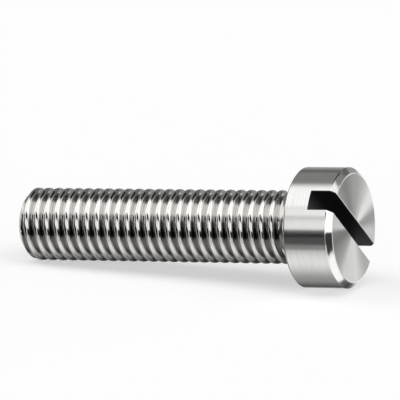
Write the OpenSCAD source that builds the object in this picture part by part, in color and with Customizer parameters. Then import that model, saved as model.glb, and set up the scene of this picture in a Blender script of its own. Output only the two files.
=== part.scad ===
/* [Head] */
// Diameter of the cylindrical (cheese) head
head_d = 16; // [14.4:0.1:17]
// Height of the head from bearing face to top face
head_h = 6.8; // [5.6:0.1:8]
// Radial width of the bevel round the top face
top_bevel_w = 0.76; // [0.4:0.02:1]
// Axial height of the bevel round the top face
top_bevel_h = 0.66; // [0.4:0.02:1]
// Small bevel round the bearing side of the head
rim_bevel = 0.15; // [0.1:0.01:0.3]

/* [Slot] */
// Width of the screwdriver slot
slot_w = 2.65; // [2.2:0.05:3]
// Depth of the slot, measured from the top face
slot_depth = 3.4; // [2.4:0.1:4]
// Turn of the slot about the screw axis
slot_turn = 49; // [0:1:180]

/* [Thread] */
// Outside (major) diameter of the thread
thread_d = 9.82; // [9.7:0.01:9.97]
// Pitch of the right-hand thread
pitch = 1.5; // [1.4:0.05:1.6]
// Length from the bearing face to the tip
shank_len = 40.5; // [30:0.5:60]
// Radial depth of the thread groove
thread_depth = 0.84; // [0.7:0.01:0.92]
// Flat width left on each crest
crest_flat = 0.27; // [0.2:0.01:0.34]
// Turn of the thread about the screw axis
thread_turn = 170; // [0:10:350]

/* [Neck and tip] */
// Diameter of the plain neck under the head
neck_d = 8.9; // [8.7:0.05:9.1]
// Length of the plain neck, up to the shoulder where the thread begins
neck_len = 1.5; // [1.2:0.1:2.5]
// Radius of the fillet under the head
neck_fillet = 0.55; // [0.5:0.05:0.8]
// Axial length of the cone at the tip
tip_cone_h = 0.9; // [0.6:0.05:1.2]
// Radius taken off the tip by the cone
tip_cone_w = 1.0; // [0.7:0.05:1.2]

/* [Pose] */
// Turn of the whole screw about its axis as it lies
lie_turn = 2; // [0:0.5:5]

/* [Parts] */
// Which piece to build

/* [Hidden] */
head_r = head_d / 2;
thread_r = thread_d / 2;
neck_r = neck_d / 2;
shoulder = thread_r - neck_r;
steel = [0.72, 0.72, 0.71];

// Groove: steps round one turn, and its section's overlap outside the crest
turn_steps = 36;
groove_over = 0.12;
root_half = (pitch - crest_flat) / 2 - thread_depth * tan(30);
// The sweep starts beyond the tip and fades out in the neck
sweep_start = -shank_len - 0.8 * pitch;
sweep_end = -neck_len;
run_out = pitch * 0.4;
sweep_steps = floor((sweep_end - sweep_start) / pitch * turn_steps);

// At rest the head's rim and the lowest crest at the tip touch the floor.
// The side of the screw that faces down is at the angle -lie_turn.
crest_end = sweep_start - (thread_turn + lie_turn) / 360 * pitch + (pitch + crest_flat) / 2;
cone_base = -shank_len + tip_cone_h;
crest_touch = crest_end + ceil((cone_base - crest_end) / pitch) * pitch;
tip_touch = max(crest_touch - crest_flat, cone_base);
rest_tilt = atan((head_r - thread_r) / (rim_bevel - tip_touch));
// Ends of the screw along X and its lowest point, before it is moved
top_end = head_h * cos(rest_tilt) + (head_r - top_bevel_w) * sin(rest_tilt);
tip_end = -shank_len * cos(rest_tilt) - (thread_r - tip_cone_w) * sin(rest_tilt);
low_point = rim_bevel * sin(rest_tilt) - head_r * cos(rest_tilt);

// Radius of the groove root at height z, rising out of the neck at the end
root_r = thread_r - thread_depth;
function root_at(z) = root_r + (neck_r + groove_over - root_r)
    * max(0, min(1, (z - sweep_end + run_out) / run_out));

function section(z) = let (r = root_at(z), out = thread_r + groove_over,
                           w = root_half + (out - r) * tan(30))
    [[r, -root_half], [out, -w], [out, w], [r, root_half]];

// One closed solid in the form of the thread groove, wound round the axis
module groove() {
    n = sweep_steps;
    points = [for (i = [0 : n]) let (a = thread_turn + i * 360 / turn_steps,
                                     z = sweep_start + i * pitch / turn_steps)
        for (p = section(z)) [p[0] * cos(a), p[0] * sin(a), z + p[1]]];
    sides = [for (i = [0 : n - 1], k = [0 : 3]) let (m = (k + 1) % 4)
        for (t = [[4 * i + k, 4 * i + m, 4 * i + 4 + m], [4 * i + k, 4 * i + 4 + m, 4 * i + 4 + k]]) t];
    polyhedron(points = points, faces = concat([[3, 2, 1, 0]], sides,
        [[4 * n, 4 * n + 1, 4 * n + 2, 4 * n + 3]]), convexity = 20);
}

// Turned blank: head with its bevels, fillet, neck, shank and tip cone
module blank() {
    rotate_extrude($fn = 96)
        polygon(concat(
            [[0, -shank_len], [thread_r - tip_cone_w, -shank_len], [thread_r, cone_base],
             [thread_r, -neck_len - shoulder], [neck_r, -neck_len], [neck_r, -neck_fillet]],
            [for (a = [15 : 15 : 75])
                [neck_r + neck_fillet * (1 - cos(a)), -neck_fillet * (1 - sin(a))]],
            [[neck_r + neck_fillet, 0], [head_r - rim_bevel, 0], [head_r, rim_bevel],
             [head_r, head_h - top_bevel_h], [head_r - top_bevel_w, head_h], [0, head_h]]));
}

module slot() {
    rotate([0, 0, slot_turn])
        translate([-head_d, -slot_w / 2, head_h - slot_depth])
            cube([2 * head_d, slot_w, slot_depth + 1]);
}

// The finished screw stands on its axis, then is laid down as it rests
module screw() {
    color(steel)
        translate([-(top_end + tip_end) / 2, 0, -low_point])
            rotate([0, 90 - rest_tilt, 0])
                rotate([0, 0, lie_turn])
                    difference() {
                        blank();
                        slot();
                        groove();
                    }
}

screw();
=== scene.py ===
"""Slotted cheese head machine screw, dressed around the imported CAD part.

The screw is drawn in its own millimetres, with the bearing face at z = 0 and the shank below it. Its
vertices are then laid down where the CAD part lies, in metres.
"""
import math

import bmesh
import bpy
import numpy as np
from mathutils import Matrix, Quaternion, Vector


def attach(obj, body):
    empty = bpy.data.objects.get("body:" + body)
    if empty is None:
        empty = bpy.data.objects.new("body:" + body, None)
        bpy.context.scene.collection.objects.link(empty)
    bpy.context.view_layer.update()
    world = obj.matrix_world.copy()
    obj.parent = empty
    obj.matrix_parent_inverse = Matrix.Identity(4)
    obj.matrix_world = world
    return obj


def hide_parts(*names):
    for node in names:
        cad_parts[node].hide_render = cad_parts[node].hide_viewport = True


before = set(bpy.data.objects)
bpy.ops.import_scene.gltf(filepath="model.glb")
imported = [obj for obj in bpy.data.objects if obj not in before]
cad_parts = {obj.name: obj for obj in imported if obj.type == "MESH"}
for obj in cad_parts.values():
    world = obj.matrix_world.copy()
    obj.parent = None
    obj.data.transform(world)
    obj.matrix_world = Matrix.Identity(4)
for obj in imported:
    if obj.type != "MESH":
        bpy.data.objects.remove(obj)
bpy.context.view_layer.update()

# Sizes of the screw in millimetres, as in the CAD part
HEAD_R = 8.0
HEAD_H = 6.8
TOP_BEVEL_W = 0.76
TOP_BEVEL_H = 0.66
RIM_BEVEL = 0.15
SLOT_W = 2.65
SLOT_DEPTH = 3.4
SLOT_TURN = 49.0
THREAD_R = 4.91
PITCH = 1.5
SHANK_LEN = 40.5
CREST_FLAT = 0.27
THREAD_TURN = 170.0
NECK_R = 4.45
NECK_LEN = 1.5
NECK_FILLET = 0.55
TIP_CONE_H = 0.9
TIP_CONE_W = 1.0
LIE_TURN = 2.0
GROOVE_OVER = 0.12

# Ends of the groove's sweep, and sizes that follow from those above
SWEEP_START = -SHANK_LEN - 0.8 * PITCH
SWEEP_END = -NECK_LEN
RUN_OUT = 0.4 * PITCH
CONE_BASE = -SHANK_LEN + TIP_CONE_H
SLOT_FLOOR = HEAD_H - SLOT_DEPTH
SLOT_HALF = SLOT_W / 2
BEVEL_Z = HEAD_H - TOP_BEVEL_H
FACE_R = HEAD_R - TOP_BEVEL_W

# Roundings that only the visible model has: crest and root of the thread, the slot's upright corners,
# the rim of the bearing face and the lips of the slot
CREST_ROUND = 0.5
VISIBLE_ROOT = 4.17
CORNER = 0.09
RIM = 0.22
LIP = 0.10

# Where the screw lies: the same tilt and shift as the CAD part
crest_end = SWEEP_START - (THREAD_TURN + LIE_TURN) / 360 * PITCH + (PITCH + CREST_FLAT) / 2
crest_touch = crest_end + math.ceil((CONE_BASE - crest_end) / PITCH) * PITCH
tip_touch = max(crest_touch - CREST_FLAT, CONE_BASE)
TILT = math.atan((HEAD_R - THREAD_R) / (RIM_BEVEL - tip_touch))
top_end = HEAD_H * math.cos(TILT) + FACE_R * math.sin(TILT)
tip_end = -SHANK_LEN * math.cos(TILT) - (THREAD_R - TIP_CONE_W) * math.sin(TILT)
low_point = RIM_BEVEL * math.sin(TILT) - HEAD_R * math.cos(TILT)
PLACE = (
    Matrix.Translation((-(top_end + tip_end) / 2, 0, -low_point))
    @ Matrix.Rotation(math.pi / 2 - TILT, 4, "Y")
    @ Matrix.Rotation(math.radians(LIE_TURN), 4, "Z")
)
# The screw's own X and Y directions in the room, for the turning marks
OWN_X = PLACE.to_3x3() @ Vector((1, 0, 0))
OWN_Y = PLACE.to_3x3() @ Vector((0, 1, 0))

# Material index of each kind of surface
TURNED, THREAD, CUT, FACE, EDGE = range(5)


class Sheet:
    """Collects vertices in screw millimetres, faces, and each face's kind of surface."""

    def __init__(self):
        self.points, self.faces, self.kinds, self.depths = [], [], [], []

    def add(self, rows, depths=None):
        """Adds vertices, with their depth below the blank's surface, and returns their numbers."""
        first = len(self.points)
        self.points.extend(tuple(map(float, p)) for p in rows)
        self.depths.extend([0.0] * len(rows) if depths is None else map(float, depths))
        return list(range(first, first + len(rows)))

    def face(self, corners, kind):
        self.faces.append(tuple(corners))
        self.kinds.append(kind)

    def strip(self, lower, upper, kind):
        """Closes the band between two rings of the same length."""
        n = len(lower)
        for i in range(n):
            k = (i + 1) % n
            self.face((lower[i], lower[k], upper[k], upper[i]), kind)


# How finely the head's outline is divided: arc of each half, slot corners, slot walls and slot ends
ARC_STEPS = 66
CORNER_STEPS = 4
WALL_MARKS = (0.97, 0.9, 0.6, 0.2, -0.2, -0.6, -0.9, -0.97)
END_STEPS = 8
N_ARC = ARC_STEPS + 1


def half_outline(radius, wall):
    """Half of the slotted head at one height: arc, rounded corner, slot wall, rounded corner."""
    corner_x = wall + CORNER
    corner_y = math.sqrt((radius - CORNER) ** 2 - corner_x ** 2)
    spread = math.atan2(corner_y, corner_x)
    out = []
    for i in range(N_ARC):
        a = -spread + 2 * spread * i / ARC_STEPS
        out.append((radius * math.cos(a), radius * math.sin(a)))
    for sign in (1, -1):
        start, end = (spread, math.pi) if sign > 0 else (math.pi, 2 * math.pi - spread)
        steps = range(1, CORNER_STEPS + 1) if sign > 0 else range(CORNER_STEPS)
        for i in steps:
            a = start + (end - start) * i / CORNER_STEPS
            out.append((corner_x + CORNER * math.cos(a), sign * corner_y + CORNER * math.sin(a)))
        if sign > 0:
            out.extend((wall, corner_y * m) for m in WALL_MARKS)
    return out


def turned(points, turn_deg):
    c, s = math.cos(math.radians(turn_deg)), math.sin(math.radians(turn_deg))
    return [(x * c - y * s, x * s + y * c) for x, y in points]


def halves(radius, wall):
    """Both halves of the head at one height, turned with the slot."""
    shape = half_outline(radius, wall)
    return [turned(shape, SLOT_TURN + 90), turned(shape, SLOT_TURN + 270)]


def shared_angles():
    """Angles that every full ring has: they pass through the slot's corners."""
    first, second = (list(np.unwrap([math.atan2(y, x) for x, y in half[:N_ARC]]))
                     for half in halves(HEAD_R, SLOT_HALF))
    while second[0] < first[-1]:
        second = [a + 2 * math.pi for a in second]
    gap_one = list(np.linspace(first[-1], second[0], END_STEPS + 1)[1:-1])
    gap_two = list(np.linspace(second[-1], first[0] + 2 * math.pi, END_STEPS + 1)[1:-1])
    return np.array(first + gap_one + second + gap_two)


ANGLES = shared_angles()


def ring(radius, z):
    """A full ring of points. The radius is one number, or one for each angle."""
    radii = np.broadcast_to(radius, ANGLES.shape)
    return [(r * math.cos(a), r * math.sin(a), z) for r, a in zip(radii, ANGLES)]


def soft_min(a, b, k):
    """The smaller of a and b, rounded off where they are closer than k."""
    h = np.maximum(k - np.abs(a - b), 0) / k
    return np.minimum(a, b) - h * h * k / 4


def soft_max(a, b, k):
    return -soft_min(-a, -b, k)


# Where soft_min and soft_max start to round, in millimetres
ROUND_ROOT = 0.12
ROUND_CONE = 0.08
ROUND_SHOULDER = 0.12
ROUND_NECK = 0.06
ROUND_TURNS = 0.02
# A radius outside the screw, where there is no groove
NO_GROOVE = 9.0


def groove_radius(away, root):
    """Radius at a distance from the groove's centre: round root, 30 degree flank, round crest."""
    reach = CREST_ROUND * math.cos(math.radians(30))
    from_crest = PITCH / 2 - away
    arc = THREAD_R - CREST_ROUND + np.sqrt(np.maximum(CREST_ROUND ** 2 - from_crest ** 2, 1e-9))
    flank = THREAD_R - CREST_ROUND / 2 - (from_crest - reach) / math.tan(math.radians(30))
    side = np.where(np.abs(from_crest) < reach, arc, flank)
    # Beyond the crest the next turn of the groove takes over
    side = np.where(from_crest < 0, THREAD_R + 4 * from_crest ** 2, side)
    return soft_max(root, side, ROUND_ROOT)


def surface_radius(z, angle):
    """Radius of the shank with its helical groove, and of the turned blank before it was cut."""
    cone = (THREAD_R - TIP_CONE_W) + (z + SHANK_LEN) * TIP_CONE_W / TIP_CONE_H
    blank = soft_min(np.full_like(z, THREAD_R), cone, ROUND_CONE)
    shoulder = soft_max(NECK_R - (z - SWEEP_END), np.full_like(z, NECK_R), ROUND_SHOULDER)
    blank = soft_min(blank, shoulder, ROUND_NECK)
    turn = np.mod(angle - math.radians(THREAD_TURN), 2 * math.pi) / (2 * math.pi)
    base = SWEEP_START + turn * PITCH
    nearest = base + np.round((z - base) / PITCH) * PITCH
    out = blank
    for shift in (-PITCH, 0, PITCH):
        centre = nearest + shift
        faded = np.clip((centre - SWEEP_END + RUN_OUT) / RUN_OUT, 0, 1)
        root = VISIBLE_ROOT + (NECK_R + GROOVE_OVER - VISIBLE_ROOT) * faded
        groove = groove_radius(np.abs(z - centre), root)
        groove = np.where(centre > SWEEP_END, NO_GROOVE, groove)
        out = soft_min(out, groove, ROUND_TURNS)
    return out, blank


sheet = Sheet()

# Lines of the shank's grid follow the groove. Each stands this far from a groove's centre
MARKS = (0.0, 0.05, 0.10, 0.17, 0.25, 0.34, 0.43, 0.53, 0.64, 0.75)
SHANK_TOP = -0.5
across = sorted(set([-m for m in MARKS[1:]] + list(MARKS)))[1:]
turns = int((SHANK_LEN + 3 * PITCH) / PITCH) + 2
lines = np.array([SWEEP_START + n * PITCH + m for n in range(-2, turns) for m in across])
lines = lines[lines > SWEEP_START - 2 * PITCH]
turn_part = np.mod(ANGLES - math.radians(THREAD_TURN), 2 * math.pi) / (2 * math.pi)
# The grid starts where the groove's turn starts
order = np.argsort(turn_part)
grid_angles, grid_turns = ANGLES[order], turn_part[order]
z_grid = np.clip(lines[:, None] + grid_turns[None, :] * PITCH, -SHANK_LEN, SHANK_TOP)
r_grid, blank_grid = surface_radius(z_grid, np.broadcast_to(grid_angles[None, :], z_grid.shape))
x_grid, y_grid = r_grid * np.cos(grid_angles), r_grid * np.sin(grid_angles)
sheet.add(np.stack([x_grid, y_grid, z_grid], -1).reshape(-1, 3), (blank_grid - r_grid).reshape(-1))
n_lines, per_turn = z_grid.shape
for j in range(n_lines - 1):
    for i in range(per_turn):
        k, shift = i + 1, 0
        if k == per_turn:
            # After a full turn a line goes on as the line one pitch above it
            k, shift = 0, len(across)
        if j + 1 + shift >= n_lines:
            continue
        corners = [(j, i), (j + shift, k), (j + 1 + shift, k), (j + 1, i)]
        heights = {round(float(z_grid[corner]), 6) for corner in corners}
        if heights in ({-SHANK_LEN}, {SHANK_TOP}):
            continue
        sheet.face([line * per_turn + place for line, place in corners], THREAD)

# Flat end of the tip, with a ring close to its edge
edge_r, _ = surface_radius(np.full(len(ANGLES), -SHANK_LEN), ANGLES)
last = sheet.add(ring(edge_r, -SHANK_LEN))
for share in (0.97, 0.6, 0.2):
    inner = sheet.add(ring(edge_r * share, -SHANK_LEN))
    sheet.strip(inner, last, FACE)
    last = inner
sheet.face(last[::-1], FACE)

# Fillet, bearing face, rounded rim, and the head's side up to the slot's floor
profile = [(NECK_R, SHANK_TOP)]
profile += [(NECK_R + NECK_FILLET * (1 - math.cos(a)), -NECK_FILLET * (1 - math.sin(a)))
            for a in map(math.radians, range(15, 91, 15))]
profile += [(NECK_R + NECK_FILLET + 0.05, 0), (6.4, 0), (HEAD_R - RIM - 0.1, 0),
            (HEAD_R - RIM - 0.03, 0.0), (HEAD_R - RIM + 0.01, 0.015),
            (HEAD_R - 0.015, RIM - 0.01), (HEAD_R, RIM + 0.03), (HEAD_R, RIM + 0.12)]
profile += [(HEAD_R, z) for z in (0.9, 1.7, 2.5, 3.2, SLOT_FLOOR)]
last = sheet.add(ring(*profile[0]))
for radius, z in profile[1:]:
    new = sheet.add(ring(radius, z))
    sheet.strip(last, new, TURNED)
    last = new
floor_ring = last

# The two halves above the slot's floor: height, radius of the arc and place of the slot's wall
levels = [(z, HEAD_R, SLOT_HALF)
          for z in (SLOT_FLOOR, SLOT_FLOOR + 0.05, 4.2, 5.0, 5.8, BEVEL_Z - 0.12, BEVEL_Z - 0.05)]
levels += [(BEVEL_Z, HEAD_R - 0.02, SLOT_HALF), (BEVEL_Z + 0.05, HEAD_R - 0.07, SLOT_HALF)]
levels += [(BEVEL_Z + TOP_BEVEL_H * share, HEAD_R - TOP_BEVEL_W * share - 0.005, SLOT_HALF)
           for share in (0.2, 0.5, 0.8)]
levels += [(HEAD_H - 0.09, FACE_R + 0.095, SLOT_HALF),
           (HEAD_H - LIP, FACE_R + 0.07, SLOT_HALF),
           (HEAD_H - LIP * 0.62, FACE_R + 0.03, SLOT_HALF + LIP * 0.08),
           (HEAD_H - LIP * 0.29, FACE_R - 0.01, SLOT_HALF + LIP * 0.29),
           (HEAD_H - LIP * 0.08, FACE_R - 0.05, SLOT_HALF + LIP * 0.62),
           (HEAD_H, FACE_R - 0.1, SLOT_HALF + LIP),
           (HEAD_H, FACE_R - 0.2, SLOT_HALF + LIP + 0.08)]


def kind_of(on_arc, radius, wall):
    """Kind of surface of a face of the halves, by the level that it reaches up to."""
    if wall > SLOT_HALF + LIP:
        return FACE
    if wall > SLOT_HALF or (on_arc and radius < HEAD_R):
        return EDGE
    return TURNED if on_arc else CUT


bases = []
for side in (0, 1):
    below = None
    for z, radius, wall in levels:
        row = sheet.add([(x, y, z) for x, y in halves(radius, wall)[side]])
        if below is None:
            bases.append(row)
        else:
            for i in range(len(row)):
                k = (i + 1) % len(row)
                sheet.face((below[i], below[k], row[k], row[i]), kind_of(i < ARC_STEPS, radius, wall))
        below = row
    sheet.face(below, FACE)

# Slot floor between the halves, up to the cylinder at both ends
gap_len = END_STEPS - 1
gap_one_ids = floor_ring[N_ARC: N_ARC + gap_len]
gap_two_ids = floor_ring[2 * N_ARC + gap_len:]
wall_one, wall_two = (base[N_ARC - 1:] + [base[0]] for base in bases)
sheet.face([*wall_one[::-1], *gap_one_ids, *wall_two[::-1], *gap_two_ids], CUT)

# Vertices this close are joined, edges this short go, both in metres, and sharper edges stay sharp
JOIN_DISTANCE = 2e-6
SHORT_EDGE = 1e-7
SHARP_ANGLE = math.radians(38)


def build():
    """Makes the mesh of the screw, laid down and in metres, with its own coordinates kept."""
    mesh = bpy.data.meshes.new("screw_visual")
    own = [Vector(p) for p in sheet.points]
    mesh.from_pydata([tuple((PLACE @ p) / 1000) for p in own], [], sheet.faces)
    marks = mesh.attributes.new("screw_mm", "FLOAT_VECTOR", "POINT")
    marks.data.foreach_set("vector", [c for p in own for c in p])
    mesh.attributes.new("groove_mm", "FLOAT", "POINT").data.foreach_set("value", sheet.depths)
    mesh.polygons.foreach_set("material_index", sheet.kinds)
    mesh.update()
    bm = bmesh.new()
    bm.from_mesh(mesh)
    bmesh.ops.remove_doubles(bm, verts=bm.verts, dist=JOIN_DISTANCE)
    bmesh.ops.dissolve_degenerate(bm, edges=bm.edges, dist=SHORT_EDGE)
    bmesh.ops.recalc_face_normals(bm, faces=bm.faces)
    bm.to_mesh(mesh)
    bm.free()
    mesh.shade_smooth()
    mesh.set_sharp_from_angle(angle=SHARP_ANGLE)
    return mesh


class Nodes:
    """Small helper that wires shader nodes."""

    def __init__(self, tree):
        self.tree = tree
        tree.nodes.clear()

    def new(self, kind, **settings):
        node = self.tree.nodes.new(kind)
        for name, value in settings.items():
            setattr(node, name, value)
        return node

    def link(self, a, b):
        self.tree.links.new(a, b)

    def fill(self, node, *values):
        """Gives the node's first inputs a number or another node's output each."""
        for socket, value in zip(node.inputs, values):
            if isinstance(value, bpy.types.NodeSocket):
                self.link(value, socket)
            else:
                socket.default_value = value
        return node.outputs[0]

    def math(self, operation, a, b=0.0, c=0.0):
        return self.fill(self.new("ShaderNodeMath", operation=operation), a, b, c)

    def combine(self, x, y, z):
        return self.fill(self.new("ShaderNodeCombineXYZ"), x, y, z)

    def separate(self, vector):
        node = self.new("ShaderNodeSeparateXYZ")
        self.link(vector, node.inputs[0])
        return node.outputs

    def noise(self, vector, scale, detail, rough=0.5):
        node = self.new("ShaderNodeTexNoise", noise_dimensions="3D")
        self.link(vector, node.inputs["Vector"])
        node.inputs["Scale"].default_value = scale
        node.inputs["Detail"].default_value = detail
        node.inputs["Roughness"].default_value = rough
        return node.outputs["Fac"]

    def around(self, degrees, stops):
        """Grey level by an angle from -180 to 180 degrees, straight between the stops."""
        node = self.new("ShaderNodeValToRGB")
        marks = node.color_ramp.elements
        while len(marks) < len(stops):
            marks.new(0.5)
        for mark, (angle, level) in zip(marks, stops):
            mark.position = angle / 360 + 0.5
            mark.color = (level, level, level, 1)
        self.link(self.math("MULTIPLY_ADD", degrees, 1 / 360, 0.5), node.inputs[0])
        return node.outputs[0]

    def step(self, value, low, high):
        """Smooth rise from 0 at low to 1 at high."""
        return self.fill(self.new("ShaderNodeMapRange", interpolation_type="SMOOTHSTEP"), value, low, high)

    def window(self, value, low, high, soft):
        """1 between low and high, 0 outside, with soft edges."""
        rise = self.step(value, low - soft, low + soft)
        fall = self.math("SUBTRACT", 1.0, self.step(value, high - soft, high + soft))
        return self.math("MULTIPLY", rise, fall)

    def patch(self, base, level, *masks):
        """Blends base to a level where all masks are 1."""
        share = masks[0]
        for mask in masks[1:]:
            share = self.math("MULTIPLY", share, mask)
        rest = self.math("MULTIPLY", base, self.math("SUBTRACT", 1.0, share))
        return self.math("MULTIPLY_ADD", share, level, rest)

    def span(self, factor, low, high):
        """Spreads a factor from 0 to 1 over low to high."""
        return self.fill(self.new("ShaderNodeMapRange"), factor, 0.0, 1.0, low, high)

    def less(self, value, share, mask):
        """Takes a share off the value where the mask is 1."""
        return self.math("MULTIPLY_ADD", mask, -share, value)


def round_tangent(n, x, y):
    """Direction of the turning marks in the room: round the screw's axis."""
    across = [n.math("ADD", n.math("MULTIPLY", y, -OWN_X[i]), n.math("MULTIPLY", x, OWN_Y[i]))
              for i in range(3)]
    node = n.new("ShaderNodeVectorMath", operation="NORMALIZE")
    n.link(n.combine(*across), node.inputs[0])
    return node.outputs[0]


# Brightness of the painted shade in the thread's root and on its upper side, and the roughness that the root
# adds
ROOT_SHADE_LEVEL, ROOT_SHADE_TOP, ROOT_ROUGH = 0.45, 0.88, 0.03


def paint_root_shade(n, x, radius):
    """Painted shade in the thread's root: its brightness, and the share of it at each point.

    rise goes from -1 at the bottom of the screw to 1 at its top. The painted shade is lightest on the side
    that faces up and darkest just below the middle of both sides. Underneath it reaches further up the
    flanks.
    """
    rise = n.math("MULTIPLY", n.math("DIVIDE", x, radius), -1.0)
    beneath = n.step(n.math("MULTIPLY", rise, -1.0), 0.5, 0.75)
    # Painted shade: the root is lighter on the side that faces up, darker on the sides and beneath
    root_tone = n.math("MULTIPLY_ADD", n.step(rise, 0.28, 0.45), ROOT_SHADE_TOP - ROOT_SHADE_LEVEL, ROOT_SHADE_LEVEL)
    root_side_shade = n.less(1.0, 0.32, n.window(rise, -0.15, 0.37, 0.05))
    root_side_shade = n.less(root_side_shade, 0.38, n.window(rise, -0.15, 0.05, 0.05))
    root_side_shade = n.less(root_side_shade, 0.3, beneath)
    deep = n.new("ShaderNodeAttribute", attribute_name="groove_mm").outputs["Fac"]
    hollow = n.step(n.math("MULTIPLY_ADD", beneath, 0.07, deep), 0.07, 0.22)
    return n.math("MULTIPLY", root_tone, root_side_shade), hollow


# A quarter turn: reflections spread across the turning marks
ACROSS_MARKS = 0.25
# Painted sheen on the face: brightness of its sectors by the angle round the screw's axis (0 faces down, 180
# up)
PAINTED_SHEEN_SECTORS = [(-180, 0.36), (-165, 0.32), (-130, 0.60), (-104, 0.86), (-98, 0.36), (-85, 0.34), (-58, 0.62),
       (-42, 1.10), (-30, 1.15), (-8, 1.0), (30, 0.65), (75, 0.80), (86, 0.60), (95, 0.62), (108, 1.28),
       (118, 1.28), (130, 1.0), (155, 0.62), (180, 0.36)]


def steel(name, tint, rough, anisotropy, marks, depth, grey_low=0.9, root_shade=False, sheen_stops=None):
    """Turned steel: its marks run round the axis, marks to a millimetre and depth metres deep."""
    mat = bpy.data.materials.new(name)
    mat.use_nodes = True
    n = Nodes(mat.node_tree)
    spot = n.new("ShaderNodeAttribute", attribute_name="screw_mm").outputs["Vector"]
    x, y, z = n.separate(spot)
    radius = n.math("SQRT", n.math("ADD", n.math("MULTIPLY", x, x), n.math("MULTIPLY", y, y)))
    angle = n.math("ARCTAN2", y, x)
    bsdf = n.new("ShaderNodeBsdfPrincipled")
    n.link(bsdf.outputs[0], n.new("ShaderNodeOutputMaterial").inputs["Surface"])
    bsdf.inputs["Metallic"].default_value = 1.0
    bsdf.inputs["Anisotropic"].default_value = anisotropy
    if anisotropy:
        bsdf.inputs["Anisotropic Rotation"].default_value = ACROSS_MARKS
        n.link(round_tangent(n, x, y), bsdf.inputs["Tangent"])
    # The marks vary fast along the axis and outwards, and slowly round the axis
    fine = n.combine(n.math("MULTIPLY", angle, 1.2), n.math("MULTIPLY", radius, marks),
                     n.math("MULTIPLY", z, marks))
    lines = n.noise(fine, 1.0, 3.0, 0.6)
    cloud = n.noise(spot, 0.35, 3.0)
    grey = n.math("MULTIPLY", n.span(lines, grey_low, 1.98 - grey_low), n.span(cloud, 0.93, 1.05))
    roughness = n.span(lines, *rough)
    # Painted sheen: the grey rises and falls by sector round the axis, standing in for the highlights of the
    # turning marks
    if sheen_stops:
        painted_sheen = n.around(n.math("MULTIPLY", angle, 180 / math.pi), sheen_stops)
        grey = n.math("MULTIPLY", grey, painted_sheen)
    # Painted shade in the thread's root, and a little more roughness there
    if root_shade:
        root_tone, hollow = paint_root_shade(n, x, radius)
        shade = n.math("MULTIPLY_ADD", hollow, n.math("SUBTRACT", root_tone, 1.0), 1.0)
        grey = n.math("MULTIPLY", grey, shade)
        roughness = n.math("MULTIPLY_ADD", hollow, ROOT_ROUGH, roughness)
    colour = n.new("ShaderNodeVectorMath", operation="SCALE")
    colour.inputs[0].default_value = tint
    n.link(grey, colour.inputs["Scale"])
    n.link(colour.outputs[0], bsdf.inputs["Base Color"])
    n.link(roughness, bsdf.inputs["Roughness"])
    bump = n.new("ShaderNodeBump")
    bump.inputs["Strength"].default_value = 1.0
    bump.inputs["Distance"].default_value = depth
    n.link(lines, bump.inputs["Height"])
    n.link(bump.outputs[0], bsdf.inputs["Normal"])
    return mat


finishes = {
    TURNED: steel("turned_steel", (0.80, 0.795, 0.78), (0.12, 0.24), 0.8, 6.0, 2.0e-6, 0.84),
    THREAD: steel("thread_steel", (0.76, 0.75, 0.725), (0.08, 0.16), 0.6, 7.0, 5.0e-6, 0.74, root_shade=True),
    # The slot's walls and floor are near black: painted shade in the slot, darker than the steel itself
    CUT: steel("slot_painted_shade", (0.09, 0.09, 0.09), (0.34, 0.48), 0.0, 6.0, 1.0e-6),
    FACE: steel("face_steel", (0.72, 0.715, 0.70), (0.34, 0.42), 0.95, 9.0, 0.8e-6, sheen_stops=PAINTED_SHEEN_SECTORS),
    EDGE: steel("edge_steel", (0.84, 0.835, 0.82), (0.05, 0.12), 0.6, 9.0, 0.4e-6),
}

screw_mesh = build()
screw = bpy.data.objects.new("screw_body", screw_mesh)
bpy.context.collection.objects.link(screw)
for kind in sorted(finishes):
    screw_mesh.materials.append(finishes[kind])
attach(screw, "root")
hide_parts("screw")

# Floor, just under the screw. The metal sees the world's lower half in its place
FLOOR_SIZE = 3.0
FLOOR_DROP = 0.00002
FLOOR_GREY = 0.686
# What the camera sees on top of the floor's own light, so that the floor comes out white
FLOOR_GLOW = 0.464
floor_mesh = bpy.data.meshes.new("floor")
floor_mesh.from_pydata([(x * FLOOR_SIZE, y * FLOOR_SIZE, 0) for x, y in ((-1, -1), (1, -1), (1, 1), (-1, 1))],
                       [], [(0, 1, 2, 3)])
floor = bpy.data.objects.new("floor", floor_mesh)
bpy.context.collection.objects.link(floor)
floor.location.z = -FLOOR_DROP
floor.visible_glossy = False
paper = bpy.data.materials.new("paper")
paper.use_nodes = True
n = Nodes(paper.node_tree)
rays = n.new("ShaderNodeLightPath")
matt = n.new("ShaderNodeBsdfDiffuse")
matt.inputs["Color"].default_value = (FLOOR_GREY, FLOOR_GREY, FLOOR_GREY, 1)
glow = n.new("ShaderNodeEmission")
n.link(n.math("MULTIPLY", rays.outputs["Is Camera Ray"], FLOOR_GLOW), glow.inputs["Strength"])
both = n.fill(n.new("ShaderNodeAddShader"), matt.outputs[0], glow.outputs[0])
n.link(both, n.new("ShaderNodeOutputMaterial").inputs["Surface"])
floor_mesh.materials.append(paper)

# Studio light. It goes by the angle round the room's X axis in degrees (0 front, 90 overhead, 180 back,
# below 0 under the floor) and by side, the share of the way that points to the right
world = bpy.data.worlds.new("studio")
bpy.context.scene.world = world
world.use_nodes = True
n = Nodes(world.node_tree)
side, away, height = n.separate(n.new("ShaderNodeTexCoord").outputs["Generated"])
around = n.math("MULTIPLY", n.math("ARCTAN2", height, n.math("MULTIPLY", away, -1.0)), 180 / math.pi)
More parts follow.
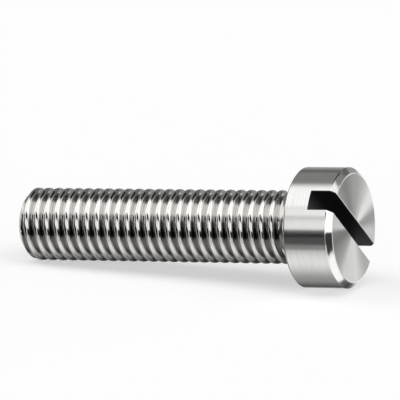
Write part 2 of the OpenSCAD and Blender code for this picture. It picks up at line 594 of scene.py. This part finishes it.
# Brightness by that angle: in general, and on the far left, which the thread's left flanks see
TONE = [(-180, 0.78), (-155, 0.70), (-145, 0.15), (-138, 0.06), (-122, 0.18), (-108, 0.31), (-98, 0.34),
        (-88, 0.46), (-72, 0.75), (-60, 0.90), (-45, 0.80), (-38, 0.62), (-26, 0.66), (-2, 0.85),
        (5, 1.0), (14, 1.08), (22, 1.05), (26, 0.84), (30, 0.86), (34, 1.4), (43, 1.4), (48, 0.98),
        (94, 0.98), (107, 0.24), (140, 0.24), (148, 0.13), (156, 0.13), (162, 0.32), (180, 0.32)]
LEFT_TONE = [(-180, 0.70), (-150, 0.60), (-120, 0.10), (-75, 0.12), (-50, 0.30), (-30, 0.20),
             (-22, 0.0), (0, 0.0), (8, 0.07), (43, 0.07), (54, 1.4), (92, 1.4), (107, 0.24),
             (140, 0.24), (148, 0.13), (156, 0.13), (162, 0.32), (180, 0.32)]
# Beyond the far right, and every angle
FAR = 2.0
ALL_ROUND = (-400, 400, 1)
STRENGTH = 1.07
# Cards, each over those before it: brightness, then from, to and softness of its side and of its angle
CARDS = [
    # Soft boxes in front and overhead, the dark strip behind them and a light card to its right
    (1.35, (-0.22, FAR, 0.06), (34, 92, 4), around),
    (1.2, (-0.22, FAR, 0.06), (8, 30, 2), around),
    (0.02, (-0.31, 0.42, 0.03), (99, 138, 3), around),
    (1.0, (0.50, FAR, 0.04), (90, 123, 4), around),
    # Thin dark lines along and across the crests
    (0.35, (-0.08, 0.14, 0.03), (5, 33, 2), around),
    (0.0, (-0.30, 0.75, 0.04), (31, 49, 1.5), around),
    # The far left, and the dark band along the whole screw
    (n.around(around, LEFT_TONE), (-0.95, -0.51, 0.025), ALL_ROUND, around),
    (0.0, (-0.98, -0.05, 0.04), (-22, 1, 2), around),
    (0.09, (-0.53, -0.31, 0.03), (-34, 5.3, 2), around),
    (0.01, (-0.53, -0.31, 0.03), (-9, 4.2, 1.5), around),
    (0.01, (0.34, FAR, 0.03), (-22, 2, 2), around),
    # White, black and white again down the bevel
    (1.3, (0.79, FAR, 0.05), (0.10, 0.40, 0.03), height),
    (0.04, (0.86, FAR, 0.02), (-66, 7, 4), around),
    (1.05, (0.48, FAR, 0.05), (-130, -72, 7), around),
    # What the face sees
    (0.95, (0.15, FAR, 0.05), (-190, -150, 6), around),
    (1.35, (0.33, FAR, 0.03), (160, 190, 4), around),
]
tone = n.around(around, TONE)
for level, side_range, angle_range, by in CARDS:
    tone = n.patch(tone, level, n.window(side, *side_range), n.window(by, *angle_range))
sky = n.new("ShaderNodeBackground")
n.link(tone, sky.inputs["Color"])
sky.inputs["Strength"].default_value = STRENGTH
n.link(sky.outputs[0], n.new("ShaderNodeOutputWorld").inputs["Surface"])

# Camera, fitted to the photograph. The picture's centre lies to the left of the middle of the bearing
# face by SHIFT_RIGHT millimetres, and below it by SHIFT_UP
AZIMUTH, ELEVATION = math.radians(24.43), math.radians(12.58)
ROLL = math.radians(-0.15)
DISTANCE = 0.684
VIEW_WIDTH = 0.0528
SHIFT_RIGHT, SHIFT_UP = 14.04, -3.65
SENSOR = 36.0
cam_data = bpy.data.cameras.new("camera")
cam = bpy.data.objects.new("camera", cam_data)
bpy.context.collection.objects.link(cam)
bpy.context.scene.camera = cam
back = Vector((math.sin(AZIMUTH) * math.cos(ELEVATION), -math.cos(AZIMUTH) * math.cos(ELEVATION),
               math.sin(ELEVATION)))
right = Vector((math.cos(AZIMUTH), math.sin(AZIMUTH), 0))
up = back.cross(right)
cam.location = (PLACE.translation - right * SHIFT_RIGHT - up * SHIFT_UP) / 1000 + back * DISTANCE
cam.rotation_mode = "QUATERNION"
cam.rotation_quaternion = Quaternion(back, ROLL) @ (-back).to_track_quat("-Z", "Y")
cam_data.sensor_width = SENSOR
cam_data.lens = SENSOR * DISTANCE / VIEW_WIDTH
cam_data.clip_start, cam_data.clip_end = 0.01, 20.0
bpy.context.scene.view_settings.view_transform = "Standard"
